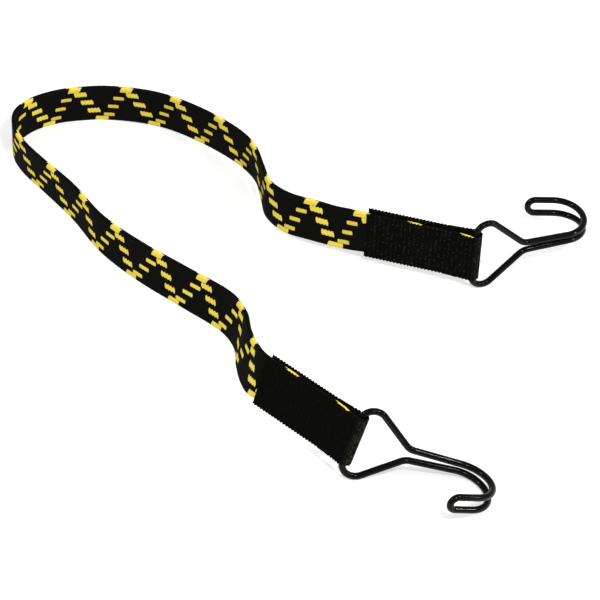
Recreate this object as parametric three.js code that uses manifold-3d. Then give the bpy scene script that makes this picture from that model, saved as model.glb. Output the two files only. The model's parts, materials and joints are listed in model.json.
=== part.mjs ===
import * as THREE from "three";
import { mergeVertices } from "three/addons/utils/BufferGeometryUtils.js";
import Module from "manifold-3d";

// A flat bungee cord that stands on its edge, bent into a U with a hook at each end.
// Lengths are in millimetres and angles in degrees. +Z is up and the cord rests on Z = 0.

// Elastic band
const bandWidth = 20;
const bandThickness = 1.8;
const bandEdgeChamfer = 0.45;
const jacketWall = 0.3;
const selvedgeWidth = 0.7;
const strandCount = 8;
const clearance = 0.3;

// Sewing thread
const threadDiameter = 0.3;
const threadSides = 6;
const needleHoleSides = 6;
const strandsPerStitch = 2;
const barSeamSetback = 13;
const mouthSeamSetback = 6;

// End sleeves
const sleeveLength = 46.8;
const sleeveUpperMargin = 0.5;
const sleeveLowerMargin = 1.2;
const sleeveWall = 0.5;
const eyeTaperLength = 9;
const eyeArcAngle = 220;
const eyeArcSteps = 10;
const tailSetback = 2.5;
const cutOverrun = 5;

// Hook wire
const wireDiameter = 2.5;
const wireSides = 8;
const wireEndGap = 0.6;
const hookSag = 0.8;
const barCornerRadius = 5.5;
const legReach = 25.5;
const legBendRadius = 6;
const shankSpacing = 4.4;
const shankReach = 44.2;
const hookBendRadius = 12;
const hookBendAngle = 161;
const hookReturnLength = 10.6;
const tipSpacing = 5.7;
const cornerSteps = 6;
const legBendSteps = 3;
const hookBendSteps = 12;
const tipSteps = 8;

// Where each end lies: the sleeve's mouth on the floor plan, and how the sleeve is turned.
// The bar can lie askew in the fold, and the hook swings about it.
const rearEnd = { mouth: [30.85, 32.68], heading: -15.6, pitch: 1.8, lean: -7, askew: 0, swing: 39, flipped: true };
const frontEnd = { mouth: [-8.6, -59.9], heading: -40.1, pitch: 0.4, lean: -21, askew: 3.6, swing: 44, flipped: false };

// The free band's route from the rear sleeve to the front one.
// Each row: X and Y of the band's middle, height of its lower edge, lean toward the inside of the U.
const bandRoute = [
  [19, 36.8, 4.4, -8],
  [7.6, 40.8, 4.2, -9.5],
  [-3, 45.3, 3.6, -8],
  [-11.2, 53.7, 3, -2.5],
  [-14.5, 65, 2.8, 1],
  [-17.8, 76.6, 2.7, 3],
  [-24.7, 86.8, 2.5, 2],
  [-43.1, 102, 1.9, 2.5],
  [-63.8, 113, 1, 4],
  [-86.5, 116.5, 0.2, 4.5],
  [-98.5, 115, 0, 5],
  [-109.8, 111.5, 0, 5],
  [-119.6, 104.6, 0.3, 4],
  [-124.8, 94.2, 1.4, 1.5],
  [-123.7, 82.7, 3, 0],
  [-118.5, 72.4, 3.6, -2.5],
  [-110.8, 63.5, 3.4, -4],
  [-94.7, 45.8, 3, -0.5],
  [-80.5, 26.5, 2.8, 2.5],
  [-63, 10.6, 2.8, 6.5],
  [-43.9, -3.4, 3, 9.5],
  [-25, -18, 3.5, 12.5],
  [-19.2, -28.5, 4.6, 12],
  [-17.1, -40.9, 6.3, 14.5],
  [-14.3, -50.4, 7.4, 19],
];
const mouthStraight = 2;
const stepsPerLeg = 2;

// Sizes worked out from those above
const wireRadius = wireDiameter / 2;
const threadRadius = threadDiameter / 2;
const needleHoleRadius = threadRadius + clearance;
const strandPitch = (bandWidth - 2 * selvedgeWidth) / strandCount;
const seamChannel = threadDiameter + 2 * clearance;
const strandWidth = strandPitch - seamChannel;
const strandThickness = bandThickness - 2 * (jacketWall + clearance);
const layerOffset = (bandThickness + clearance) / 2;
const sleeveInset = bandThickness / 2 + clearance;
const sleeveHalfThickness = layerOffset + sleeveInset + sleeveWall;
const sleeveWidth = bandWidth + sleeveUpperMargin + sleeveLowerMargin;
const snugEyeRadius = wireRadius + clearance + bandThickness / 2;
const barStraight = bandWidth / 2;

const colours = {
  band: { color: 0x14140f, roughness: 0.85, metalness: 0 },
  rubber: { color: 0xb9a67c, roughness: 0.6, metalness: 0 },
  sleeve: { color: 0x101012, roughness: 0.9, metalness: 0 },
  thread: { color: 0x18181a, roughness: 0.8, metalness: 0 },
  wire: { color: 0x1a1812, roughness: 0.3, metalness: 0.4 },
};

const wasm = await Module();
wasm.setup();

const radians = THREE.MathUtils.degToRad;

function named(name, geometry, finish) {
  const mesh = new THREE.Mesh(geometry, new THREE.MeshStandardMaterial(finish));
  mesh.name = name;
  return mesh;
}

// A closed body from rings of points, with flat end caps. Holes are rings inside the outer ones.
function skin(outerRings, holeRings, capTriangles) {
  const count = outerRings[0].length;
  const holeCount = holeRings ? holeRings[0].length : 0;
  const stride = count + holeCount;
  const rings = outerRings.map((ring, i) => (holeRings ? [...ring, ...holeRings[i]] : ring));
  const index = [];
  const band = (i, first, size, inward) => {
    for (let k = 0; k < size; k++) {
      const a = i * stride + first + k;
      const b = i * stride + first + ((k + 1) % size);
      const quad = [a, b, b + stride, a, b + stride, a + stride];
      index.push(...(inward ? quad.reverse() : quad));
    }
  };
  for (let i = 0; i + 1 < rings.length; i++) {
    band(i, 0, count, false);
    if (holeRings) band(i, count, holeCount, true);
  }
  const last = (rings.length - 1) * stride;
  for (const [a, b, c] of capTriangles) {
    index.push(a, c, b);
    index.push(last + a, last + b, last + c);
  }
  const geometry = new THREE.BufferGeometry().setFromPoints(rings.flat());
  geometry.setIndex(index);
  return facingOut(geometry);
}

// Six times the signed volume, to tell which way the faces point.
function facingOut(geometry) {
  const at = geometry.getAttribute("position");
  const index = geometry.index.array;
  const [a, b, c] = [new THREE.Vector3(), new THREE.Vector3(), new THREE.Vector3()];
  let volume = 0;
  for (let i = 0; i < index.length; i += 3) {
    a.fromBufferAttribute(at, index[i]);
    b.fromBufferAttribute(at, index[i + 1]);
    c.fromBufferAttribute(at, index[i + 2]);
    volume += a.dot(b.cross(c));
  }
  if (volume < 0) geometry.setIndex(Array.from(index).reverse());
  return geometry;
}

function capOf(outline, hole) {
  return THREE.ShapeUtils.triangulateShape(outline, hole ? [hole] : []);
}

// A round bar along a polyline, mitred at each corner.
function wireAlong(points, radius, sides) {
  const ahead = points.slice(1).map((p, i) => p.clone().sub(points[i]).normalize());
  const first = ahead[0];
  const side = new THREE.Vector3(0, 0, 1);
  if (Math.abs(first.dot(side)) > Math.SQRT1_2) side.set(1, 0, 0);
  const u = side.sub(first.clone().multiplyScalar(side.dot(first))).normalize();
  const v = first.clone().cross(u);
  const circle = (k) => new THREE.Vector2(radius, 0).rotateAround(new THREE.Vector2(), (2 * Math.PI * k) / sides);
  const section = Array.from({ length: sides }, (_, k) => circle(k));
  let ring = section.map((s) => points[0].clone().addScaledVector(u, s.x).addScaledVector(v, s.y));
  const rings = [ring];
  for (let i = 1; i < points.length; i++) {
    const along = ahead[i - 1];
    const normal = i < ahead.length ? along.clone().add(ahead[i]) : along.clone();
    ring = ring.map((p) => {
      const reach = points[i].clone().sub(p).dot(normal) / along.dot(normal);
      return p.clone().addScaledVector(along, reach);
    });
    rings.push(ring);
  }
  return skin(rings, null, capOf(section));
}

// Booleans on closed meshes
function solidFrom(geometry) {
  const bare = geometry.clone();
  bare.deleteAttribute("normal");
  bare.deleteAttribute("uv");
  const merged = mergeVertices(bare);
  const vertProperties = merged.getAttribute("position").array;
  return new wasm.Manifold(new wasm.Mesh({ numProp: 3, vertProperties, triVerts: merged.index.array }));
}

function cut(solid, tools) {
  const joined = tools.map(solidFrom).reduce((all, tool) => all.add(tool));
  return solid.subtract(joined);
}

function geometryFrom(solid) {
  const made = solid.getMesh();
  const geometry = new THREE.BufferGeometry();
  geometry.setAttribute("position", new THREE.BufferAttribute(made.vertProperties, 3));
  geometry.setIndex(new THREE.BufferAttribute(made.triVerts, 1));
  return geometry;
}

// Sleeve frames: X from the mouth out past the bar, Y along the bar, Z toward the near face.
// The bar stands as high as lets the hook's lowest point rest on the floor.
function endFrame(end) {
  const flat = Math.cos(radians(end.pitch));
  const x = new THREE.Vector3(
    flat * Math.cos(radians(end.heading)),
    flat * Math.sin(radians(end.heading)),
    Math.sin(radians(end.pitch)),
  );
  const upright = new THREE.Vector3(0, 0, 1).addScaledVector(x, -x.z).normalize();
  const y = upright.applyAxisAngle(x, radians(end.lean));
  const origin = new THREE.Vector3(end.mouth[0], end.mouth[1], 0).addScaledVector(x, sleeveLength);
  const frame = { x, y, z: x.clone().cross(y), origin };
  const hanging = placedIn(frame, hook("hanging", end));
  origin.z -= new THREE.Box3().setFromObject(hanging, true).min.z;
  return frame;
}

function matrixOf(frame) {
  return new THREE.Matrix4().makeBasis(frame.x, frame.y, frame.z).setPosition(frame.origin);
}

function placedIn(frame, ...meshes) {
  const group = new THREE.Group();
  group.applyMatrix4(matrixOf(frame));
  group.add(...meshes);
  return group;
}

// Half of the eye's outline in the sleeve's X and Z: tail side, round the bar, live side.
// An arc about the bar narrows over the taper to a flat stretch at a given offset.
function eyeOutline(radius, offset, tailX, mouthX) {
  const start = -radians(eyeArcAngle) / 2;
  const arc = Array.from({ length: eyeArcSteps + 1 }, (_, i) => {
    const angle = start - (2 * start * i) / eyeArcSteps;
    return new THREE.Vector2(radius * Math.cos(angle), radius * Math.sin(angle));
  });
  const tail = [new THREE.Vector2(tailX, -offset), new THREE.Vector2(-eyeTaperLength, -offset)];
  const live = [new THREE.Vector2(-eyeTaperLength, offset), new THREE.Vector2(mouthX, offset)];
  return [...tail, ...arc, ...live];
}

// Band stations: a point, the width direction w and the thickness direction n, n = w x travel.
function mitred(stations) {
  return stations.map((s, i) => {
    const before = stations[Math.max(i - 1, 0)].p;
    const after = stations[Math.min(i + 1, stations.length - 1)].p;
    const incoming = s.p.clone().sub(before);
    const outgoing = after.clone().sub(s.p);
    if (incoming.lengthSq() === 0) incoming.copy(outgoing);
    if (outgoing.lengthSq() === 0) outgoing.copy(incoming);
    const travel = incoming.normalize().add(outgoing.normalize()).normalize();
    const w = s.w.clone().addScaledVector(travel, -s.w.dot(travel)).normalize();
    const n = w.clone().cross(travel).multiplyScalar(1 / incoming.dot(travel));
    return { p: s.p, w, n };
  });
}

// The eye is as much wider as the bar lies askew in it.
function eyeRadius(end) {
  return snugEyeRadius + (sleeveWidth / 2) * Math.sin(radians(end.askew));
}

function foldStations(end, frame) {
  const outline = eyeOutline(eyeRadius(end), layerOffset, tailSetback - sleeveLength, -sleeveLength - mouthStraight);
  return outline.map((q) => ({
    p: frame.origin.clone().addScaledVector(frame.x, q.x).addScaledVector(frame.z, q.y),
    w: frame.y,
  }));
}

// The lower edge never goes below the floor, whatever the lean.
function reachBelow(w, n) {
  return Math.max(...bandOutline.map((q) => -(q.x * w.z + q.y * n.z)));
}

function freeStations(from, to) {
  const middle = bandRoute.map(([x, y, lift, lean]) => {
    return new THREE.Vector3(x, y, lift + (bandWidth / 2) * Math.cos(radians(lean)));
  });
  const nodes = [from.before, from.p, ...middle, to.p, to.after];
  const leans = [from.lean, from.lean, ...bandRoute.map((row) => row[3]), to.lean, to.lean];
  const route = new THREE.CatmullRomCurve3(nodes);
  const leanRoute = new THREE.CatmullRomCurve3(leans.map((lean) => new THREE.Vector3(lean, 0, 0)), false, "catmullrom");
  const legs = nodes.length - 1;
  const stations = [];
  for (let i = stepsPerLeg + 1; i < (legs - 1) * stepsPerLeg; i++) {
    const t = i / (legs * stepsPerLeg);
    const p = route.getPoint(t);
    const travel = route.getTangent(t);
    const upright = new THREE.Vector3(0, 0, 1).addScaledVector(travel, -travel.z).normalize();
    const w = upright.applyAxisAngle(travel, -radians(leanRoute.getPoint(t).x));
    p.z = Math.max(p.z, reachBelow(w, w.clone().cross(travel)));
    stations.push({ p, w });
  }
  return stations;
}

function bandStations(rear, front) {
  const rearFold = foldStations(rearEnd, rear);
  const frontFold = foldStations(frontEnd, front).reverse();
  const from = { p: rearFold.at(-1).p, lean: rearEnd.lean };
  from.before = from.p.clone().addScaledVector(rear.x, sleeveLength / 2);
  const to = { p: frontFold[0].p, lean: -frontEnd.lean };
  to.after = to.p.clone().addScaledVector(front.x, sleeveLength / 2);
  return mitred([...rearFold, ...freeStations(from, to), ...frontFold]);
}

function rectangle(width, thickness, across) {
  const corners = [[-1, -1], [1, -1], [1, 1], [-1, 1]];
  return corners.map(([i, j]) => new THREE.Vector2(across + (i * width) / 2, (j * thickness) / 2));
}

function chamferedRectangle(width, thickness, chamfer) {
  const [a, b] = [width / 2, thickness / 2];
  const corner = [[a, b - chamfer], [a - chamfer, b]];
  const signs = [[1, 1], [-1, 1], [-1, -1], [1, -1]];
  return signs.flatMap(([i, j]) => {
    const points = corner.map(([x, y]) => new THREE.Vector2(i * x, j * y));
    return i * j > 0 ? points : points.reverse();
  });
}

const bandOutline = chamferedRectangle(bandWidth, bandThickness, bandEdgeChamfer);

function ringsOf(stations, outline) {
  const place = (s, q) => s.p.clone().addScaledVector(s.w, q.x).addScaledVector(s.n, q.y);
  return stations.map((s) => outline.map((q) => place(s, q)));
}

// Needle holes stand between the strands, so the thread passes beside the rubber.
function seamPlaces() {
  const places = [];
  for (let gap = 1; gap < strandCount; gap += strandsPerStitch) {
    places.push((gap - strandCount / 2) * strandPitch);
  }
  return places;
}

const seamSetbacks = { bar_seam: -barSeamSetback, mouth_seam: mouthSeamSetback - sleeveLength };

function needleHoles() {
  const depth = 2 * (sleeveHalfThickness + cutOverrun);
  const holes = [];
  for (const x of Object.values(seamSetbacks)) {
    for (const y of seamPlaces()) {
      const needle = new THREE.CylinderGeometry(needleHoleRadius, needleHoleRadius, depth, needleHoleSides);
      holes.push(needle.rotateX(Math.PI / 2).translate(x, y, 0));
    }
  }
  return holes;
}

function jacket(stations, frames) {
  const cavity = rectangle(bandWidth - 2 * selvedgeWidth, bandThickness - 2 * jacketWall, 0);
  const body = skin(ringsOf(stations, bandOutline), ringsOf(stations, cavity), capOf(bandOutline, cavity));
  const holes = frames.flatMap((frame) => {
    return needleHoles().map((hole) => hole.applyMatrix4(matrixOf(frame)));
  });
  return named("band_jacket", geometryFrom(cut(solidFrom(body), holes)), colours.band);
}

function strands(stations) {
  return Array.from({ length: strandCount }, (_, i) => {
    const across = (i - (strandCount - 1) / 2) * strandPitch;
    const outline = rectangle(strandWidth, strandThickness, across);
    const body = skin(ringsOf(stations, outline), null, capOf(outline));
    return named(`rubber_strand_${i + 1}`, body, colours.rubber);
  });
}

// A seam dips through the sleeve and both layers at each needle hole.
function seamThread(x) {
  const z = sleeveHalfThickness + clearance + threadRadius;
  const points = seamPlaces().flatMap((y, i) => {
    const side = i % 2 ? -1 : 1;
    return [new THREE.Vector3(x, y, side * z), new THREE.Vector3(x, y, -side * z)];
  });
  return wireAlong(points, threadRadius, threadSides);
}

// A tape folded over the bar, its mouth and its long edges open.
function sleeveBody(end) {
  const face = (inset) => eyeOutline(eyeRadius(end) + inset, layerOffset + inset, -sleeveLength, -sleeveLength);
  const profile = new THREE.Shape([...face(sleeveInset + sleeveWall), ...face(sleeveInset).reverse()]);
  const tape = new THREE.ExtrudeGeometry(profile, { depth: sleeveWidth, bevelEnabled: false });
  tape.translate(0, 0, -(bandWidth / 2 + sleeveUpperMargin)).rotateX(Math.PI / 2);
  return geometryFrom(cut(solidFrom(tape), needleHoles()));
}

function arcPoints(centre, radius, from, to, steps) {
  return Array.from({ length: steps + 1 }, (_, i) => {
    const angle = from + ((to - from) * i) / steps;
    return new THREE.Vector3(centre.x + radius * Math.cos(angle), centre.y + radius * Math.sin(angle), 0);
  });
}

// Bar, corner, leg and shank of the hook's upper half, in the plane of its triangle.
function triangleHalf() {
  const corner = new THREE.Vector2(barCornerRadius, barStraight);
  const bend = new THREE.Vector2(legReach, shankSpacing / 2 + legBendRadius);
  const between = bend.clone().sub(corner);
  const slope = Math.atan2(between.y, between.x);
  const turn = Math.acos((barCornerRadius + legBendRadius) / between.length());
  const leave = slope + turn;
  return [
    new THREE.Vector3(0, wireEndGap / 2, 0),
    ...arcPoints(corner, barCornerRadius, Math.PI, leave, cornerSteps),
    ...arcPoints(bend, legBendRadius, leave - Math.PI, -Math.PI / 2, legBendSteps),
    new THREE.Vector3(shankReach, shankSpacing / 2, 0),
  ];
}

// The open bend, in which the two wires part a little, and the straight return to the tip.
function bendHalf() {
  const points = Array.from({ length: hookBendSteps }, (_, i) => {
    const share = (i + 1) / hookBendSteps;
    const angle = radians(hookBendAngle) * share;
    const spacing = THREE.MathUtils.lerp(shankSpacing, tipSpacing, THREE.MathUtils.smoothstep(share, 0, 1));
    const reach = shankReach + hookBendRadius * Math.sin(angle);
    return new THREE.Vector3(reach, spacing / 2, hookBendRadius * (1 - Math.cos(angle)));
  });
  return points;
}

function tipHalf(from) {
  const angle = radians(hookBendAngle);
  const back = new THREE.Vector3(Math.cos(angle), 0, Math.sin(angle));
  const loop = tipSpacing / 2;
  const centre = from.clone().addScaledVector(back, hookReturnLength - loop).setY(0);
  return Array.from({ length: tipSteps / 2 + 1 }, (_, i) => {
    const turn = (Math.PI * i) / tipSteps;
    const height = new THREE.Vector3(0, loop * Math.cos(turn), 0);
    return centre.clone().addScaledVector(back, loop * Math.sin(turn)).add(height);
  });
}

function hookGeometry() {
  const bend = bendHalf();
  const upper = [...triangleHalf(), ...bend, ...tipHalf(bend.at(-1))];
  const lower = upper.slice(0, -1).reverse().map((p) => new THREE.Vector3(p.x, -p.y, p.z));
  return wireAlong([...upper, ...lower], wireRadius, wireSides);
}

function hook(name, end) {
  const mesh = named(name, hookGeometry(), colours.wire);
  if (end.flipped) mesh.rotation.x = Math.PI;
  mesh.position.y = -hookSag;
  const swung = new THREE.Group();
  swung.rotation.set(0, radians(end.swing), -radians(end.askew), "ZYX");
  swung.add(mesh);
  return swung;
}

function endPieces(side, end, frame) {
  const pieces = [named(`${side}_sleeve`, sleeveBody(end), colours.sleeve), hook(`${side}_hook`, end)];
  for (const [seam, x] of Object.entries(seamSetbacks)) {
    pieces.push(named(`${side}_${seam}`, seamThread(x), colours.thread));
  }
  return placedIn(frame, ...pieces);
}

const rear = endFrame(rearEnd);
const front = endFrame(frontEnd);
const stations = bandStations(rear, front);

const bungeeCord = new THREE.Group();
bungeeCord.add(jacket(stations, [rear, front]), ...strands(stations));
bungeeCord.add(endPieces("rear", rearEnd, rear), endPieces("front", frontEnd, front));

export default bungeeCord;
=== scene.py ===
import json
from math import acos, atan2, cos, pi, radians, sin, tan, tau

import bmesh
import bpy
from mathutils import Matrix, Vector


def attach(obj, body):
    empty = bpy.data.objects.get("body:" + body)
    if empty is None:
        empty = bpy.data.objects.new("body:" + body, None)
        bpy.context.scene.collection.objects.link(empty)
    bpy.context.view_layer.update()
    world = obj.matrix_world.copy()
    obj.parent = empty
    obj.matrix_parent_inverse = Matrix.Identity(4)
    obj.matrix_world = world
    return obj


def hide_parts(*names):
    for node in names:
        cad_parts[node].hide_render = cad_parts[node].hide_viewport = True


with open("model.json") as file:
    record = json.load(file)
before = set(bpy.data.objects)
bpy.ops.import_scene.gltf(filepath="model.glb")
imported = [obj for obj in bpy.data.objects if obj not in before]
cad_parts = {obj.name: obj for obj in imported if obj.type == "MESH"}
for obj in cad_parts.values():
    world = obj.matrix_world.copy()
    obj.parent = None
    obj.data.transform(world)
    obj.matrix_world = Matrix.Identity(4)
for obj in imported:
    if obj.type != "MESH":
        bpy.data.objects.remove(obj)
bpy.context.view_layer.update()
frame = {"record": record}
scene = bpy.context.scene

# A flat bungee cord on its edge. Sizes are in millimetres and become metres as a piece is made.
METRES_PER_MILLIMETRE = 0.001
MILLIMETRES_PER_METRE = 1000
UP = Vector((0, 0, 1))

# Elastic band: ribs run along it, and a groove parts each from the next.
BAND_WIDTH = 20
BAND_HALF_THICKNESS = 0.8
GROOVE_HALF_THICKNESS = 0.7
EDGE_HALF_THICKNESS = 0.4
RIB_COUNT = 8
RIB_WIDTH = BAND_WIDTH / RIB_COUNT
NARROW_RIBS = (2, 4, 6)
NARROWING = 0.12

# The band's section: shares of a rib's width across it and the half thickness there. The two outer
# ribs end in a thin bead and a rim, which reach past the rib's own width.
BEAD = 0.16
RIM = 0.32
BEAD_INSET = 0.1
MIDDLE_RIB = [(0.2, 0.81), (0.5, BAND_HALF_THICKNESS), (0.8, 0.81), (1, GROOVE_HALF_THICKNESS)]
UPPER_RIB = [
    (-BEAD, EDGE_HALF_THICKNESS),
    (0.04, 0.66),
    (0.3, 0.82),
    (0.7, 0.83),
    (1, GROOVE_HALF_THICKNESS),
]
LOWER_RIB = [
    (0.3, 0.83),
    (0.7, 0.82),
    (0.96, 0.66),
    (1 + BEAD, EDGE_HALF_THICKNESS),
    (1 + RIM, 0),
]

# Inside a sleeve the band is doubled round the hook's bar and pressed thinner. Its tail sits a
# little lower than its live side.
LAYER_OFFSET = 0.72
EYE_RADIUS = 2.0
EYE_TAPER = 9
EYE_STEP = 0.6
TAPER_CORNER = 3
CORNER_SHARES = (0, 0.25, 0.5, 0.75)
FOLD_STEP = 2
MOUTH_STRAIGHT = 2
SQUEEZE = 0.8
TAIL_SETBACK = 2.5
TAIL_DROP = 1.2
TAIL_DROP_STATIONS = 8

# Rubber strands
STRAND_PITCH = 2.325
STRAND_RADIUS = 0.42
STRAND_FLATTENING = 1.8
STRAND_SIDES = 10

# Weave: one yellow mark on each rib in every repeat. The band is stretched on the left turn and
# where it enters the front sleeve, and bunched where it enters the rear one.
REPEAT = 24
TURN_REPEAT = 29.9
NEAR_REPEAT = 23.65
REAR_SLEEVE_REPEAT = 22.8
FRONT_SLEEVE_REPEAT = 26.5
FIRST_MARK = 2.1
MARKS_BEFORE_TURN = 8
MARKS_AFTER_TURN = 7
RIB_ORDER = {0: 0, 1: 1, 3: 2, 5: 3, 7: 4, 6: 5, 4: 6, 2: 7}
MARK_SHIFT = 0.125

# Marks: how their ends slant on each rib, and how far a rib's marks slip along the band, in
# millimetres. Face 1 of the band is the one inside the U, face -1 the one outside.
OUTER_SLANTS = {0: -0.9, 7: -0.4}
ODD_SLANT, EVEN_SLANT = 0.6, -0.1
MARK_SLIPS = {1: {0: 0.2, 2: -0.5, 4: -0.2, 6: 0.7, 7: 0.4}, -1: {2: 0.4, 5: -0.4, 6: -0.2, 7: -0.8}}
OUTER_MARK_SIDE, OUTER_MARK_REACH, OUTER_MARK_LIMIT = 0.36, 1.05, 0.6
OUTSIDE_THINNING, INSIDE_THINNING, NARROW_RIB_THINNING = 0.93, 0.8, 0.9
UPPER_MARKS, LOWER_MARKS, ODD_MARKS = (0.25, 0.5), (0.25, 0.0), (1.0, 0.25)
EVEN_MARKS = {1: (0.25, 1.0), -1: (0.25, 0.5)}
MARK_HALF_LENGTH = 2.3
MARK_SHORTENING = 0.5
MARK_HALF_WIDTH = 0.38
MARK_ROUNDING = (0.7, 0.52)
PICK_PITCH = 1.48
YARN_PITCH = 0.74
YARN_SLANT = 2.2
TOOTH_DEPTH = 0.22
EDGE_FUZZ = 0.35

# Sleeves
SLEEVE_LENGTH = 46.8
SLEEVE_ABOVE = 0.5
SLEEVE_BELOW = 1.2
SLEEVE_WALL = 0.4
SLEEVE_RADIUS = 2.95
SLEEVE_OFFSET = 1.62
SLEEVE_RIB = 0.95
SLEEVE_ROWS = 16

# The tape's ribs stand out more on the fold round the bar, where they are pale from wear and carry
# a painted highlight on their crests. Its long edges are ragged, with a pitch counted in ribs.
RIB_BULGE, FOLD_BULGE = 0.03, 0.05
FOLD_REACH = 6
WEAR_AND_HIGHLIGHT_REACH, WEAR_AND_HIGHLIGHT_GAIN = 4, 1.6
RISE_LENGTH = 16
RAGGED_DEPTH, RAGGED_PITCH = 0.22, 1.6
SPECK_STRENGTH = {"rear": 0.8, "front": 0.12}

# Hooks: one bent wire each. Its two ends meet in the middle of the bar.
WIRE_RADIUS = 1.42
WIRE_END_GAP = 0.6
HOOK_SAG = 0.8
BAR_HALF = 10
BAR_CORNER = 5.5
LEG_REACH = 25.5
LEG_BEND = 6
SHANK_REACH = 44.2
HOOK_BEND = 12
HOOK_ANGLE = 161
HOOK_RETURN = 10.6
CORNER_STEPS, LEG_STEPS, HOOK_STEPS, TIP_STEPS = 14, 8, 36, 12

# How far apart each hook's two wires run: where the legs meet, before the hook bends and at its tip.
REAR_SPACINGS = (3.6, 2.95, 6.6)
FRONT_SPACINGS = (4.9, 3.5, 5.9)

# Seams
BAR_SEAM_SETBACK = 13
MOUTH_SEAM_SETBACK = 6
THREAD_RADIUS = 0.16
THREAD_LIFT, THREAD_DIVE = 0.1, 0.25
STITCH_COUNT = 7
STITCH_GAP = 0.25

# How each end is turned: the band's lean there, how askew the bar lies in the fold, and the
# hook's swing about it.
REAR_LEAN, REAR_ASKEW, REAR_SWING = -7, 0, 39
FRONT_LEAN, FRONT_ASKEW, FRONT_SWING = 21, 3.6, 44

# How high the band, the tape behind it and the tape before it sit at each end.
REAR_RISE, REAR_BACK_RISE, REAR_FACE_RISE = 0.1, 0.6, -0.45
FRONT_RISE, FRONT_BACK_RISE, FRONT_FACE_RISE = 1.1, 0.6, 0.5

# The free band's route from the rear sleeve to the front one: X and Y of the band's middle,
# height of its lower edge, lean toward the inside of the U.
BAND_ROUTE = [
    (19, 36.8, 4.4, -8),
    (7.6, 40.8, 4.2, -9.5),
    (-3, 45.3, 3.6, -8),
    (-11.2, 53.7, 3, -2.5),
    (-14.5, 65, 2.8, 1),
    (-17.8, 76.6, 2.7, 3),
    (-24.7, 86.8, 2.5, 2),
    (-43.1, 102, 1.9, 2.5),
    (-63.8, 113, 1, 4),
    (-86.5, 116.5, 0.2, 4.5),
    (-98.5, 115, 0, 5),
    (-109.8, 111.5, 0, 5),
    (-119.6, 104.6, 0.3, 4),
    (-124.8, 94.2, 1.4, 1.5),
    (-123.7, 82.7, 3, 0),
    (-118.5, 72.4, 3.6, -2.5),
    (-110.8, 63.5, 3.4, -4),
    (-94.7, 45.8, 3, -0.5),
    (-80.5, 26.5, 2.8, 2.5),
    (-63, 10.6, 2.8, 6.5),
    (-43.9, -3.4, 3, 9.5),
    (-25, -18, 3.5, 12.5),
    (-19.2, -28.5, 4.6, 12),
    (-17.1, -40.9, 6.3, 14.5),
    (-14.3, -50.4, 7.4, 19),
]
STEPS_PER_LEG = 14
NEARBY = 1e-4
WELD = 1e-5

# Camera and light, in metres, degrees and watts
CAMERA_PLACE = (0.0044, -0.7628, 0.7317)
CAMERA_TILT, CAMERA_ROLL = 43.594, 3
CAMERA_LENS, CAMERA_SENSOR = 151.9, 36
FLOOR_SIZE = 3
FLOOR_COLOUR = (0.8, 0.8, 0.8, 1)
WHITE = (1, 1, 1, 1)
FLOOR_GLOW = 0.45
AIR_GLOW = 0.45
LAMPS = (
    ("near_softbox", (0.19, -0.56, 0.87), (0.07, 0, 0), 0.06, 3.4),
    ("high_softbox", (0.62, -0.24, 0.84), (0.07, 0, 0), 0.06, 3.4),
    ("right_softbox", (0.94, -0.13, 0.52), (0.07, 0, 0), 0.06, 2.4),
    ("left_softbox", (-0.75, -0.2, 0.75), (0, 0, 0), 0.12, 2.4),
)

# Colours
MARK_YELLOW = (0.97, 0.8, 0.11, 1)
DULL_YELLOW = (0.88, 0.66, 0.085, 1)
# Painted shade on the yellow marks' yarn stripes.
SHADED_YELLOW = (0.66, 0.48, 0.05, 1)
BAND_BLACK = (0.0032, 0.0032, 0.0026, 1)
# Painted sheen on the black yarn crests.
YARN_SHEEN_BLACK = (0.006, 0.006, 0.005, 1)
BAND_FLECK = (0.05, 0.046, 0.037, 1)
TAPE_BLACK = (0.0034, 0.0036, 0.0027, 1)
TAPE_FLECK = (0.05, 0.048, 0.043, 1)
# Painted highlight and wear on the tape's rib crests at the fold.
WORN_TAPE_AND_HIGHLIGHT = (0.05, 0.043, 0.032, 1)
WIRE_BLACK = (0.0016, 0.0015, 0.001, 1)
RUBBED_WIRE = (0.004, 0.0036, 0.0022, 1)
DARK_RUBBER = (0.40, 0.31, 0.17, 1)
PALE_RUBBER = (0.52, 0.42, 0.26, 1)
THREAD_BLACK = (0.002, 0.002, 0.002, 1)
PALE_THREAD = (0.005, 0.005, 0.0045, 1)


def metres(point):
    return point * METRES_PER_MILLIMETRE


# Camera
def add_camera():
    lens = bpy.data.cameras.new("photo_camera")
    lens.sensor_width = CAMERA_SENSOR
    lens.lens = CAMERA_LENS
    camera = bpy.data.objects.new("photo_camera", lens)
    scene.collection.objects.link(camera)
    tilt = Matrix.Rotation(radians(90 - CAMERA_TILT), 4, "X")
    roll = Matrix.Rotation(radians(CAMERA_ROLL), 4, "Z")
    camera.matrix_world = Matrix.Translation(CAMERA_PLACE) @ (tilt @ roll)
    scene.camera = camera


add_camera()


# The band's path
class SleeveFrame:
    """x runs from the mouth out past the bar, y up along the bar, z toward the near face."""

    def __init__(self, side, askew, rise):
        record = frame["record"]
        joint = next(j for j in record["behaviour"]["joints"] if j["name"] == side + "_hook_swing")
        face = next(m for m in record["mounts"] if m["name"] == side + "_sleeve_face")
        self.bar = Vector(joint["pos_m"]) * MILLIMETRES_PER_METRE
        self.z = Vector(face["axis"]).normalized()
        self.askew = radians(askew)
        self.rise = rise
        self.y = Matrix.Rotation(self.askew, 3, self.z) @ Vector(joint["axis"])
        self.x = self.y.cross(self.z).normalized()

    def at(self, x, y, z):
        return self.bar + self.x * x + self.y * y + self.z * z

    def slant(self, x):
        """How far the fold leads or trails for each millimetre along the bar."""
        return tan(self.askew) * min(max(1 + x / EYE_TAPER, 0), 1)


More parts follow.
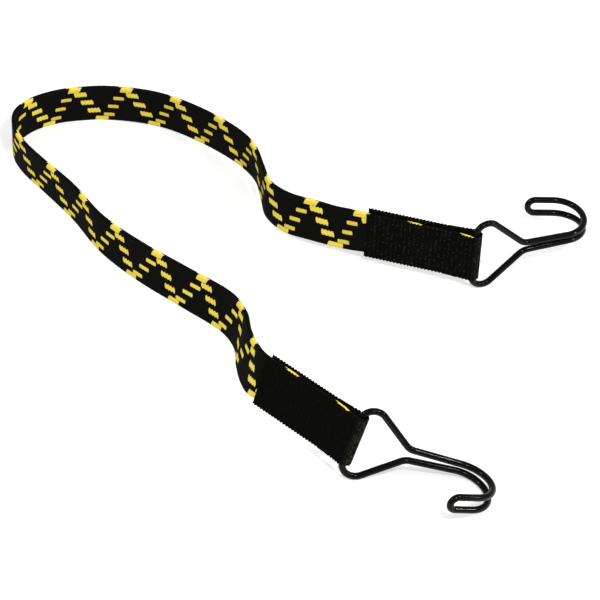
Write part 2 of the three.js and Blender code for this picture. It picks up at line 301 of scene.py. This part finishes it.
def on_curve(nodes, t, centripetal):
    place = t * (len(nodes) - 1)
    i = min(int(place), len(nodes) - 2)
    share = place - i
    b, c = nodes[i], nodes[i + 1]
    a = nodes[i - 1] if i > 0 else 2 * b - c
    d = nodes[i + 2] if i + 2 < len(nodes) else 2 * c - b
    leave, arrive = (c - a) / 2, (d - b) / 2
    if centripetal:
        ab, bc, cd = ((q - p).length ** 0.5 for p, q in ((a, b), (b, c), (c, d)))
        leave = ((b - a) / ab - (c - a) / (ab + bc) + (c - b) / bc) * bc
        arrive = ((c - b) / bc - (d - b) / (bc + cd) + (d - c) / cd) * bc
    square = 3 * (c - b) - 2 * leave - arrive
    cubic = 2 * (b - c) + leave + arrive
    return b + leave * share + square * share**2 + cubic * share**3


def stepped(a, b, length):
    count = max(1, round((b - a).length / length))
    return [a.lerp(b, i / count) for i in range(count)]


def half_fold(radius, offset, start_x, step):
    """A tape's line in a sleeve's x and z, from its start to the far side of the bar."""
    corner = Vector((-EYE_TAPER, offset))
    angle = pi - atan2(offset, EYE_TAPER) - acos(radius / corner.length)
    touch = radius * Vector((cos(angle), sin(angle)))
    flat = corner - Vector((TAPER_CORNER, 0))
    rise = corner + (touch - corner).normalized() * TAPER_CORNER
    bend = [flat.lerp(corner, t).lerp(corner.lerp(rise, t), t) for t in CORNER_SHARES]
    around = max(6, round(radius * angle / min(step, EYE_STEP)))
    turns = [angle * (1 - i / around) for i in range(around)]
    eye = [radius * Vector((cos(turn), sin(turn))) for turn in turns]
    return stepped(Vector((start_x, offset)), flat, step) + bend + stepped(rise, touch, step) + eye


def fold_line(radius, offset, tail_x, mouth_x, step):
    """Tail, round the bar, live side."""
    tail = [Vector((p.x, -p.y)) for p in half_fold(radius, offset, tail_x, step)]
    live = half_fold(radius, offset, mouth_x, step)
    return tail + [Vector((radius, 0))] + live[::-1]


def section_directions(points, widths):
    """Each station of a bar: its middle, the width direction and the thickness direction."""
    stations = []
    for i, (point, width) in enumerate(zip(points, widths)):
        travel = (points[min(i + 1, len(points) - 1)] - points[max(i - 1, 0)]).normalized()
        w = (width - travel * width.dot(travel)).normalized()
        stations.append((point, w, w.cross(travel)))
    return stations


def free_band(rear, front):
    """Points and width directions between the sleeves' mouths, nowhere below the floor."""
    exits = [end.at(-SLEEVE_LENGTH - MOUTH_STRAIGHT, end.rise, LAYER_OFFSET) for end in (rear, front)]
    middles = []
    for x, y, lift, lean in BAND_ROUTE:
        middles.append(Vector((x, y, lift + BAND_WIDTH / 2 * cos(radians(lean)))))
    before = exits[0] + rear.x * SLEEVE_LENGTH / 2
    after = exits[1] + front.x * SLEEVE_LENGTH / 2
    nodes = [before, exits[0], *middles, exits[1], after]
    leans = [REAR_LEAN, REAR_LEAN, *[row[3] for row in BAND_ROUTE], FRONT_LEAN, FRONT_LEAN]
    lean_nodes = [Vector((lean, 0, 0)) for lean in leans]
    legs = len(nodes) - 1
    points, widths = [], []
    for i in range(STEPS_PER_LEG + 1, (legs - 1) * STEPS_PER_LEG):
        t = i / (legs * STEPS_PER_LEG)
        point = on_curve(nodes, t, True)
        travel = (on_curve(nodes, t + NEARBY, True) - on_curve(nodes, t - NEARBY, True)).normalized()
        upright = (UP - travel * travel.z).normalized()
        width = Matrix.Rotation(-radians(on_curve(lean_nodes, t, False).x), 3, travel) @ upright
        reach = BAND_WIDTH / 2 * width.z + EDGE_HALF_THICKNESS * abs(width.cross(travel).z)
        point.z = max(point.z, reach)
        points.append(point)
        widths.append(width)
    return points, widths


rear_frame = SleeveFrame("rear", REAR_ASKEW, REAR_RISE)
front_frame = SleeveFrame("front", FRONT_ASKEW, FRONT_RISE)


def fold_stations(end):
    """The band's stations inside a sleeve, from its tail to the mouth."""
    tail_x, mouth_x = TAIL_SETBACK - SLEEVE_LENGTH, -SLEEVE_LENGTH - MOUTH_STRAIGHT
    line = fold_line(EYE_RADIUS, LAYER_OFFSET, tail_x, mouth_x, FOLD_STEP)
    stations = []
    for i, place in enumerate(line):
        ahead = (line[min(i + 1, len(line) - 1)] - line[max(i - 1, 0)]).normalized()
        drop = TAIL_DROP * min(max((len(line) / 2 - i) / TAIL_DROP_STATIONS, 0), 1)
        w = end.y + end.x * end.slant(place.x)
        n = (end.x * ahead.y - end.z * ahead.x) * (SQUEEZE if place.x > -SLEEVE_LENGTH else 1)
        stations.append((end.at(place.x, end.rise - drop, place.y), w, n))
    return stations


def whole_band():
    rear = fold_stations(rear_frame)
    front = [(point, w, -n) for point, w, n in fold_stations(front_frame)][::-1]
    free = section_directions(*free_band(rear_frame, front_frame))
    stations = rear + free + front
    run = [0]
    for (a, _, _), (b, _, _) in zip(stations, stations[1:]):
        run.append(run[-1] + (b - a).length)
    mouth = run[len(rear) - 1] - MOUTH_STRAIGHT
    return stations, [r - mouth for r in run], len(rear)


stations, run, fold_count = whole_band()


def weave_turns(distance):
    """How many repeats of the weave lie between the first mark and a place on the band."""
    past = distance - FIRST_MARK
    if past < 0:
        return past / REAR_SLEEVE_REPEAT
    turns = 0
    legs = ((MARKS_BEFORE_TURN, REPEAT), (1, TURN_REPEAT), (MARKS_AFTER_TURN, NEAR_REPEAT))
    for count, repeat in legs:
        if past <= count * repeat:
            return turns + past / repeat
        past -= count * repeat
        turns += count
    return turns + past / FRONT_SLEEVE_REPEAT


# Meshes
def finished(name, build, material, body, node):
    """Turns a bmesh in millimetres into the piece that stands for a node."""
    bmesh.ops.recalc_face_normals(build, faces=build.faces)
    bmesh.ops.scale(build, vec=(METRES_PER_MILLIMETRE,) * 3, verts=build.verts)
    mesh = bpy.data.meshes.new(name)
    build.to_mesh(mesh)
    build.free()
    return dressed(name, mesh, material, body, node)


def dressed(name, mesh, material, body, node):
    mesh.materials.clear()
    mesh.materials.append(material)
    for face in mesh.polygons:
        face.use_smooth = True
    piece = bpy.data.objects.new(name, mesh)
    scene.collection.objects.link(piece)
    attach(piece, body)
    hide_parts(node)
    return piece


def grid_mesh(rows, columns):
    """A grid, and each vertex's row and column on it."""
    build = bmesh.new()
    bmesh.ops.create_grid(build, x_segments=rows, y_segments=columns, size=0.5)
    places = {}
    for vertex in build.verts:
        places[vertex] = round((vertex.co.x + 0.5) * rows), round((vertex.co.y + 0.5) * columns)
    return build, places


def bar_along(stations, outline):
    """A bar of one section along the stations, and where each vertex came from on its grid."""
    columns = len(outline)
    build, grid = grid_mesh(len(stations) - 1, columns)
    for vertex, (i, k) in grid.items():
        point, w, n = stations[i]
        across, depth = outline[k % columns][:2]
        vertex.co = point + w * across + n * depth
    return build, grid


def closed(build):
    bmesh.ops.remove_doubles(build, verts=build.verts, dist=WELD)
    rims = [edge for edge in build.edges if edge.is_boundary]
    bmesh.ops.holes_fill(build, edges=rims, sides=0)
    return build


def tube_along(points, radius, sides_quarter):
    """A round wire through points in millimetres, as a mesh in metres."""
    curve = bpy.data.curves.new("wire_line", "CURVE")
    curve.dimensions = "3D"
    curve.bevel_depth = metres(radius)
    curve.bevel_resolution = sides_quarter
    curve.use_fill_caps = True
    spline = curve.splines.new("POLY")
    spline.points.add(len(points) - 1)
    for place, point in zip(spline.points, points):
        place.co = (*metres(point), 1)
    line = bpy.data.objects.new("wire_line", curve)
    scene.collection.objects.link(line)
    mesh = bpy.data.meshes.new_from_object(line.evaluated_get(bpy.context.evaluated_depsgraph_get()))
    bpy.data.objects.remove(line)
    bpy.data.curves.remove(curve)
    return mesh


# Materials
def new_material(name, roughness, base=(0, 0, 0, 1), **sockets):
    material = bpy.data.materials.new(name)
    material.use_nodes = True
    shader = material.node_tree.nodes["Principled BSDF"]
    shader.inputs["Base Color"].default_value = base
    shader.inputs["Roughness"].default_value = roughness
    for socket, value in sockets.items():
        shader.inputs[socket.replace("_", " ")].default_value = value
    return material, material.node_tree, shader


def put(tree, socket, value):
    """Sets a socket to a number or a colour, or links it to another socket."""
    if isinstance(value, bpy.types.NodeSocket):
        tree.links.new(value, socket)
    else:
        socket.default_value = value


def calc(tree, operation, first, second=0.0, third=0.0):
    node = tree.nodes.new("ShaderNodeMath")
    node.operation = operation
    for socket, value in zip(node.inputs, (first, second, third)):
        put(tree, socket, value)
    return node.outputs[0]


def times(tree, first, second):
    return calc(tree, "MULTIPLY", first, second)


def plus(tree, first, second):
    return calc(tree, "ADD", first, second)


def scaled(tree, value, factor, offset):
    return calc(tree, "MULTIPLY_ADD", value, factor, offset)


def past(tree, value, limit):
    """How far a value lies past a limit, and 0 before it."""
    return calc(tree, "MAXIMUM", calc(tree, "SUBTRACT", value, limit), 0.0)


def ripple(tree, value, period):
    """A wave between -1 and 1 with a crest at 0."""
    return calc(tree, "COSINE", times(tree, value, tau / period))


def crests(tree, wave):
    """A wave between -1 and 1, brought between 0 and 1."""
    return scaled(tree, wave, 0.5, 0.5)


def ramp_between(tree, value, low, high):
    """0 at low and 1 at high."""
    node = tree.nodes.new("ShaderNodeMapRange")
    node.interpolation_type = "SMOOTHSTEP"
    put(tree, node.inputs["Value"], value)
    node.inputs["From Min"].default_value = low
    node.inputs["From Max"].default_value = high
    return node.outputs["Result"]


def mixed(tree, share, first, second):
    node = tree.nodes.new("ShaderNodeMix")
    node.data_type = "RGBA"
    put(tree, node.inputs[0], share)
    put(tree, node.inputs[6], first)
    put(tree, node.inputs[7], second)
    return node.outputs[2]


def noise(tree, place, scale, detail=2.0):
    node = tree.nodes.new("ShaderNodeTexNoise")
    put(tree, node.inputs["Vector"], place)
    node.inputs["Scale"].default_value = scale
    node.inputs["Detail"].default_value = detail
    return node.outputs["Fac"]


def map_parts(tree, name):
    """The two numbers of one of the piece's own UV maps."""
    source = tree.nodes.new("ShaderNodeUVMap")
    source.uv_map = name
    parts = tree.nodes.new("ShaderNodeSeparateXYZ")
    tree.links.new(source.outputs["UV"], parts.inputs[0])
    return parts.outputs["X"], parts.outputs["Y"]


def object_place(tree):
    return tree.nodes.new("ShaderNodeTexCoord").outputs["Object"]


def raised(tree, shader, height, depth):
    node = tree.nodes.new("ShaderNodeBump")
    node.inputs["Distance"].default_value = depth
    put(tree, node.inputs["Height"], height)
    tree.links.new(node.outputs["Normal"], shader.inputs["Normal"])


def mark_shape(tree, along, across, tooth, short, fuzz):
    """1 in a yellow mark and 0 outside it. Its corners are round and its sides may be toothed."""
    teeth = times(tree, times(tree, tooth, ripple(tree, along, PICK_PITCH)), TOOTH_DEPTH)
    side = plus(tree, calc(tree, "ABSOLUTE", across), plus(tree, teeth, fuzz))
    past_side = past(tree, side, MARK_HALF_WIDTH)
    half_length = scaled(tree, short, -MARK_SHORTENING, MARK_HALF_LENGTH)
    past_end = past(tree, calc(tree, "ABSOLUTE", along), half_length)
    squares = [calc(tree, "POWER", value, 2.0) for value in (past_side, past_end)]
    return ramp_between(tree, calc(tree, "SQRT", plus(tree, *squares)), *MARK_ROUNDING)


def band_material():
    """Black elastic webbing with a zigzag of yellow marks woven into its ribs. Its yarn stripes carry
    painted shade on the yellow and painted sheen on the black.
    """
    material, tree, shader = new_material("band_webbing", 0.8, Specular_IOR_Level=0.04)
    u, v = map_parts(tree, "weave")
    tooth, short = map_parts(tree, "rib")
    place = object_place(tree)
    turns = calc(tree, "FRACT", plus(tree, u, 0.5 - MARK_SHIFT))
    along = times(tree, calc(tree, "SUBTRACT", turns, 0.5), REPEAT)
    across = times(tree, v, RIB_WIDTH)
    fuzz = times(tree, calc(tree, "SUBTRACT", noise(tree, place, 2600), 0.5), EDGE_FUZZ)
    mark = mark_shape(tree, along, across, tooth, short, fuzz)
    slanted = plus(tree, times(tree, along, tau / YARN_PITCH), times(tree, across, YARN_SLANT))
    yarn = crests(tree, calc(tree, "COSINE", slanted))
    bright = mixed(tree, ramp_between(tree, short, 0.7, 0.9), MARK_YELLOW, DULL_YELLOW)
    # Along the yarn crests: painted shade on the yellow, painted sheen on the black.
    yellow = mixed(tree, times(tree, yarn, 0.35), bright, SHADED_YELLOW)
    black = mixed(tree, times(tree, yarn, 0.5), BAND_BLACK, YARN_SHEEN_BLACK)
    fleck = ramp_between(tree, noise(tree, place, 1700, 3), 0.66, 0.76)
    black = mixed(tree, times(tree, fleck, 0.7), black, BAND_FLECK)
    put(tree, shader.inputs["Base Color"], mixed(tree, mark, black, yellow))
    put(tree, shader.inputs["Roughness"], scaled(tree, mark, -0.2, 0.85))
    raised(tree, shader, plus(tree, times(tree, mark, 0.7), times(tree, yarn, 0.3)), 0.00012)
    return material


def sleeve_material():
    """Black tape with fine cross ribs and pale specks, brown-grey on the ribs where it is folded: pale from
    wear there, with a painted highlight on the crests.
    """
    material, tree, shader = new_material("sleeve_webbing", 0.9, Specular_IOR_Level=0.02)
    u, v = map_parts(tree, "weave")
    wear_and_highlight, specked = map_parts(tree, "rib")
    place = object_place(tree)
    rib = crests(tree, ripple(tree, u, 1))
    knots = crests(tree, ripple(tree, v, 0.62))
    wobble = scaled(tree, noise(tree, place, 500, 1), 1.6, -0.8)
    rows = plus(tree, ripple(tree, plus(tree, u, wobble), 2), ripple(tree, v, 1.24))
    patchy = ramp_between(tree, noise(tree, place, 800, 2), 0.45, 0.6)
    speck = times(tree, ramp_between(tree, rows, 1.1, 1.8), patchy)
    ground = mixed(tree, times(tree, speck, specked), TAPE_BLACK, TAPE_FLECK)
    # Painted highlight and wear: brown-grey on the rib crests near the fold.
    crest_wear_and_highlight = times(tree, rib, ramp_between(tree, noise(tree, place, 900), 0.35, 0.7))
    put(tree, shader.inputs["Base Color"], mixed(tree, times(tree, crest_wear_and_highlight, wear_and_highlight), ground, WORN_TAPE_AND_HIGHLIGHT))
    raised(tree, shader, times(tree, rib, scaled(tree, knots, 0.4, 0.6)), 0.0001)
    return material


def wire_material():
    """Dark dipped coating, glossy, with faint dents and duller patches from rubbing."""
    material, tree, shader = new_material("coated_wire", 0.16, Specular_IOR_Level=0.12)
    place = object_place(tree)
    patch = ramp_between(tree, noise(tree, place, 120, 4), 0.45, 0.7)
    grime = noise(tree, place, 900, 3)
    put(tree, shader.inputs["Base Color"], mixed(tree, patch, WIRE_BLACK, RUBBED_WIRE))
    roughness = plus(tree, times(tree, patch, 0.06), scaled(tree, grime, 0.06, 0.1))
    put(tree, shader.inputs["Roughness"], roughness)
    raised(tree, shader, noise(tree, place, 220, 1), 0.00005)
    return material


def rubber_material():
    """Pale natural rubber, clouded."""
    material, tree, shader = new_material("rubber", 0.6)
    place = object_place(tree)
    cloud = noise(tree, place, 300, 3)
    put(tree, shader.inputs["Base Color"], mixed(tree, cloud, DARK_RUBBER, PALE_RUBBER))
    put(tree, shader.inputs["Roughness"], scaled(tree, cloud, 0.3, 0.45))
    raised(tree, shader, noise(tree, place, 1500, 2), 0.00004)
    return material


def thread_material():
    """Black twisted sewing thread."""
    material, tree, shader = new_material("sewing_thread", 0.7, Specular_IOR_Level=0.04)
    twist = tree.nodes.new("ShaderNodeTexWave")
    twist.bands_direction = "DIAGONAL"
    put(tree, twist.inputs["Vector"], object_place(tree))
    twist.inputs["Scale"].default_value = 900
    twist.inputs["Distortion"].default_value = 1.5
    strand = twist.outputs["Fac"]
    put(tree, shader.inputs["Base Color"], mixed(tree, strand, THREAD_BLACK, PALE_THREAD))
    put(tree, shader.inputs["Roughness"], scaled(tree, strand, 0.2, 0.6))
    raised(tree, shader, strand, 0.00005)
    return material


# Band
def rib_section(rib):
    """How far across a rib each of its section's points lies, and the band's half thickness there."""
    if rib == 0:
        return [(-RIM, 0), *UPPER_RIB]
    return [(0, GROOVE_HALF_THICKNESS), *(LOWER_RIB if rib == RIB_COUNT - 1 else MIDDLE_RIB)]


def rib_start(rib):
    """Where a rib starts below the band's upper edge, in rib widths."""
    return rib + (NARROWING if rib in NARROW_RIBS else 0)


def height_on_band(rib, place):
    """How far above the band's middle a place across a rib lies."""
    if place in (-RIM, 1 + RIM):
        return BAND_WIDTH / 2 if place < 0 else -BAND_WIDTH / 2
    if place in (-BEAD, 1 + BEAD):
        return (BAND_WIDTH / 2 - BEAD_INSET) * (1 if place < 0 else -1)
    share = min(max(place, 0), 1)
    below = rib_start(rib) * (1 - share) + rib_start(rib + 1) * share
    return BAND_WIDTH / 2 - RIB_WIDTH * below


def band_section():
    """Points round the band. Each comes with its rib, its face and the places across that rib
    between which the strip after it lies."""
    outline, strips = [], []
    for face in (1, -1):
        for rib in range(RIB_COUNT)[::face]:
            steps = rib_section(rib)[::face]
            for (near, thick), (far, _) in zip(steps, steps[1:]):
                outline.append((height_on_band(rib, near), face * thick))
                strips.append((rib, face, near, far))
    return outline, strips


def mark_height(rib, face, y):
    """How far a place across a rib lies from its mark's middle line, in rib widths. The outer ribs'
    marks run over the band's edge."""
    if rib == 0:
        return min(OUTER_MARK_SIDE * y / OUTER_MARK_REACH, OUTER_MARK_LIMIT)
    if rib == RIB_COUNT - 1:
        return max(OUTER_MARK_SIDE * (y - 1) / OUTER_MARK_REACH, -OUTER_MARK_LIMIT)
    if face == -1:
        return (y - 0.5) * OUTSIDE_THINNING
    return (y - 0.5) * (NARROW_RIB_THINNING if rib in NARROW_RIBS else INSIDE_THINNING)


def mark_slant(rib, face, y):
    """How far along the band a mark lies from its even place there, in repeats."""
    slant = OUTER_SLANTS.get(rib, ODD_SLANT if rib % 2 else EVEN_SLANT)
    return (slant * (y - 0.5) + MARK_SLIPS[face].get(rib, 0)) / REPEAT


def mark_kind(rib, face):
    """How toothed a rib's marks are, and how short. The shortest ones are dull too."""
    if rib == 0:
        return UPPER_MARKS
    if rib == RIB_COUNT - 1:
        return LOWER_MARKS
    return ODD_MARKS if rib % 2 else EVEN_MARKS[face]


def woven(build, grid, run, strips):
    """Lays the weave on the band: repeats along it and places across each rib's mark."""
    weave = build.loops.layers.uv.new("weave")
    rib_map = build.loops.layers.uv.new("rib")
    for face in build.faces:
        column = min(grid[loop.vert][1] for loop in face.loops)
        rib, side, near, far = strips[column]
        for loop in face.loops:
            i, k = grid[loop.vert]
            y = near if k == column else far
            u = -side * weave_turns(run[i]) - RIB_ORDER[rib] / RIB_COUNT + MARK_SHIFT
            loop[weave].uv = (u - mark_slant(rib, side, y), mark_height(rib, side, y))
            loop[rib_map].uv = mark_kind(rib, side)


def make_band():
    outline, strips = band_section()
    build, grid = bar_along(stations, outline)
    woven(build, grid, run, strips)
    closed(build)
    piece = finished("elastic_band", build, band_material(), "cord", "band_jacket")


def make_strands():
    turns = [tau * k / STRAND_SIDES for k in range(STRAND_SIDES)]
    section = [(STRAND_RADIUS * STRAND_FLATTENING * cos(turn), STRAND_RADIUS * sin(turn)) for turn in turns]
    material = rubber_material()
    sparse = stations[::2] if len(stations) % 2 else stations[::2] + stations[-1:]
    for i in range(RIB_COUNT):
        across = (i - (RIB_COUNT - 1) / 2) * STRAND_PITCH
        build, _ = bar_along(sparse, [(a + across, d) for a, d in section])
        closed(build)
        finished(f"rubber_core_{i + 1}", build, material, "cord", f"rubber_strand_{i + 1}")


# Sleeves
def tape_rise(past_bar, back_rise, face_rise):
    """The tape's height where it is folded: from the back's to the face's as it rounds the bar."""
    return back_rise + (face_rise - back_rise) * min(max(past_bar / RISE_LENGTH + 0.5, 0), 1)


def make_sleeve(side, end, back_rise, face_rise, material):
    line = fold_line(SLEEVE_RADIUS, SLEEVE_OFFSET, -SLEEVE_LENGTH, -SLEEVE_LENGTH, SLEEVE_RIB / 4)
    reach = [0]
    for a, b in zip(line, line[1:]):
        reach.append(reach[-1] + (b - a).length)
    last = len(line) - 1
    build, grid = grid_mesh(last, SLEEVE_ROWS)
    weave = build.loops.layers.uv.new("weave")
    rib_map = build.loops.layers.uv.new("rib")
    top, bottom = BAND_WIDTH / 2 + SLEEVE_ABOVE, -BAND_WIDTH / 2 - SLEEVE_BELOW
    for vertex, (i, k) in grid.items():
        past_bar = reach[i] - reach[-1] / 2
        ahead = (line[min(i + 1, last)] - line[max(i - 1, 0)]).normalized()
        outward = Vector((ahead.y, -ahead.x))
        fold = max(0, 1 - abs(past_bar) / FOLD_REACH)
        # Near the fold the rib crests take wear and a painted highlight.
        wear_and_highlight = min(1, WEAR_AND_HIGHLIGHT_GAIN * max(0, 1 - abs(past_bar) / WEAR_AND_HIGHLIGHT_REACH))
        bulge = cos(tau * past_bar / SLEEVE_RIB) * (RIB_BULGE + FOLD_BULGE * fold)
        y = bottom + (top - bottom) * k / SLEEVE_ROWS + tape_rise(past_bar, back_rise, face_rise)
        if k in (0, SLEEVE_ROWS):
            y += RAGGED_DEPTH * cos(tau * reach[i] / (SLEEVE_RIB * RAGGED_PITCH)) * (1 if k else -1)
        place = line[i] + outward * bulge
        for loop in vertex.link_loops:
            loop[weave].uv = (past_bar / SLEEVE_RIB, y)
            loop[rib_map].uv = (wear_and_highlight, SPECK_STRENGTH[side])
        vertex.co = end.at(place.x + end.slant(place.x) * y, y, place.y)
    bmesh.ops.recalc_face_normals(build, faces=build.faces)
    bmesh.ops.solidify(build, geom=build.faces, thickness=SLEEVE_WALL)
    finished(f"{side}_folded_sleeve", build, material, "cord", f"{side}_sleeve")


# Hooks
def arc(centre, radius, start, stop, steps):
    angles = [start + (stop - start) * i / steps for i in range(steps + 1)]
    return [Vector((centre.x + radius * cos(a), centre.y + radius * sin(a), 0)) for a in angles]


def half_hook(at_legs, at_bend, at_tip):
    """One of the hook's two like halves, from the middle of its bar to the middle of its tip. It is
    told how far the two wires are apart where the legs meet, before the bend and at the tip."""
    corner, bend = Vector((BAR_CORNER, BAR_HALF)), Vector((LEG_REACH, at_legs / 2 + LEG_BEND))
    between = bend - corner
    leave = atan2(between.y, between.x) + acos((BAR_CORNER + LEG_BEND) / between.length)
    points = [Vector((0, WIRE_END_GAP / 2, 0)), Vector((0, BAR_HALF / 2, 0))]
    points += arc(corner, BAR_CORNER, pi, leave, CORNER_STEPS)
    points += arc(bend, LEG_BEND, leave - pi, -pi / 2, LEG_STEPS)
    points.append(Vector((SHANK_REACH, at_bend / 2, 0)))
    sweep = radians(HOOK_ANGLE)
    for i in range(1, HOOK_STEPS + 1):
        share = i / HOOK_STEPS
        ease = share * share * (3 - 2 * share)
        spacing = at_bend + (at_tip - at_bend) * ease
        x, z = SHANK_REACH + HOOK_BEND * sin(sweep * share), HOOK_BEND * (1 - cos(sweep * share))
        points.append(Vector((x, spacing / 2, z)))
    back = Vector((cos(sweep), 0, sin(sweep)))
    loop = at_tip / 2
    centre = points[-1] + back * (HOOK_RETURN - loop)
    centre.y = 0
    for i in range(TIP_STEPS + 1):
        turn = pi / 2 * i / TIP_STEPS
        points.append(centre + back * loop * sin(turn) + Vector((0, loop * cos(turn), 0)))
    return points


def make_hook(side, end, swing, flipped, spacings, material):
    upper = half_hook(*spacings)
    line = upper + [Vector((p.x, -p.y, p.z)) for p in upper[-2::-1]]
    if flipped:
        line = [Vector((p.x, -p.y, -p.z)) for p in line]
    turn = Matrix.Rotation(-end.askew, 3, "Z") @ Matrix.Rotation(radians(swing), 3, "Y")
    line = [turn @ (p - Vector((0, HOOK_SAG, 0))) for p in line]
    mesh = tube_along([end.at(*p) for p in line], WIRE_RADIUS, 5)
    dressed(f"{side}_wire_hook", mesh, material, f"{side}_hook", f"{side}_hook")


# Seams
def make_seam(side, end, name, x, material):
    """One line of stitches across the sleeve, through both tapes and both layers of the band."""
    face = SLEEVE_OFFSET + SLEEVE_WALL / 2
    points = []
    for i in range(STITCH_COUNT):
        y = (i - (STITCH_COUNT - 1) / 2) * STRAND_PITCH
        top = 1 if i % 2 == 0 else -1
        before = y - STITCH_GAP * (i > 0)
        after = y + STITCH_GAP * (i + 1 < STITCH_COUNT)
        outer, inner = top * (face + THREAD_LIFT), top * (face - THREAD_DIVE)
        points += [Vector((x, before, -outer)), Vector((x, y, -inner))]
        points += [Vector((x, y, inner)), Vector((x, after, outer))]
    mesh = tube_along([end.at(*p) for p in points], THREAD_RADIUS, 2)
    dressed(f"{side}_{name}_thread", mesh, material, "cord", f"{side}_{name}")


make_band()
make_strands()
sleeve_cloth, wire, thread = sleeve_material(), wire_material(), thread_material()
for side, end in (("rear", rear_frame), ("front", front_frame)):
    rear = side == "rear"
    swing, spacings = (REAR_SWING, REAR_SPACINGS) if rear else (FRONT_SWING, FRONT_SPACINGS)
    make_hook(side, end, swing, rear, spacings, wire)
    make_seam(side, end, "bar_seam", -BAR_SEAM_SETBACK, thread)
    make_seam(side, end, "mouth_seam", MOUTH_SEAM_SETBACK - SLEEVE_LENGTH, thread)

make_sleeve("rear", rear_frame, REAR_BACK_RISE, REAR_FACE_RISE, sleeve_cloth)
make_sleeve("front", front_frame, FRONT_BACK_RISE, FRONT_FACE_RISE, sleeve_cloth)


# Studio
def add_floor():
    """A white floor that keeps the object's shadow. What the lamps leave short of white, it glows."""
    build = bmesh.new()
    bmesh.ops.create_grid(build, x_segments=1, y_segments=1, size=FLOOR_SIZE)
    mesh = bpy.data.meshes.new("studio_floor")
    build.to_mesh(mesh)
    build.free()
    floor = bpy.data.objects.new("studio_floor", mesh)
    scene.collection.objects.link(floor)
    material, tree, shader = new_material("studio_floor", 0.9, FLOOR_COLOUR)
    floor.data.materials.append(material)
    seen = tree.nodes.new("ShaderNodeLightPath")
    straight = calc(tree, "MAXIMUM", seen.outputs["Is Camera Ray"], seen.outputs["Is Glossy Ray"])
    glow = tree.nodes.new("ShaderNodeEmission")
    glow.inputs["Color"].default_value = WHITE
    put(tree, glow.inputs["Strength"], times(tree, straight, FLOOR_GLOW))
    both = tree.nodes.new("ShaderNodeAddShader")
    tree.links.new(shader.outputs[0], both.inputs[0])
    tree.links.new(glow.outputs[0], both.inputs[1])
    tree.links.new(both.outputs[0], tree.nodes["Material Output"].inputs["Surface"])


def add_lamp(name, place, target, size, power):
    lamp = bpy.data.lights.new(name, "AREA")
    lamp.size = size
    lamp.energy = power
    holder = bpy.data.objects.new(name, lamp)
    scene.collection.objects.link(holder)
    holder.location = place
    holder.rotation_euler = (Vector(target) - Vector(place)).to_track_quat("-Z", "Y").to_euler()


def add_world():
    world = bpy.data.worlds.new("studio_air")
    scene.world = world
    world.use_nodes = True
    air = world.node_tree.nodes["Background"]
    air.inputs["Color"].default_value = WHITE
    air.inputs["Strength"].default_value = AIR_GLOW


add_floor()
add_world()
for lamp in LAMPS:
    add_lamp(*lamp)
scene.view_settings.view_transform = "Standard"
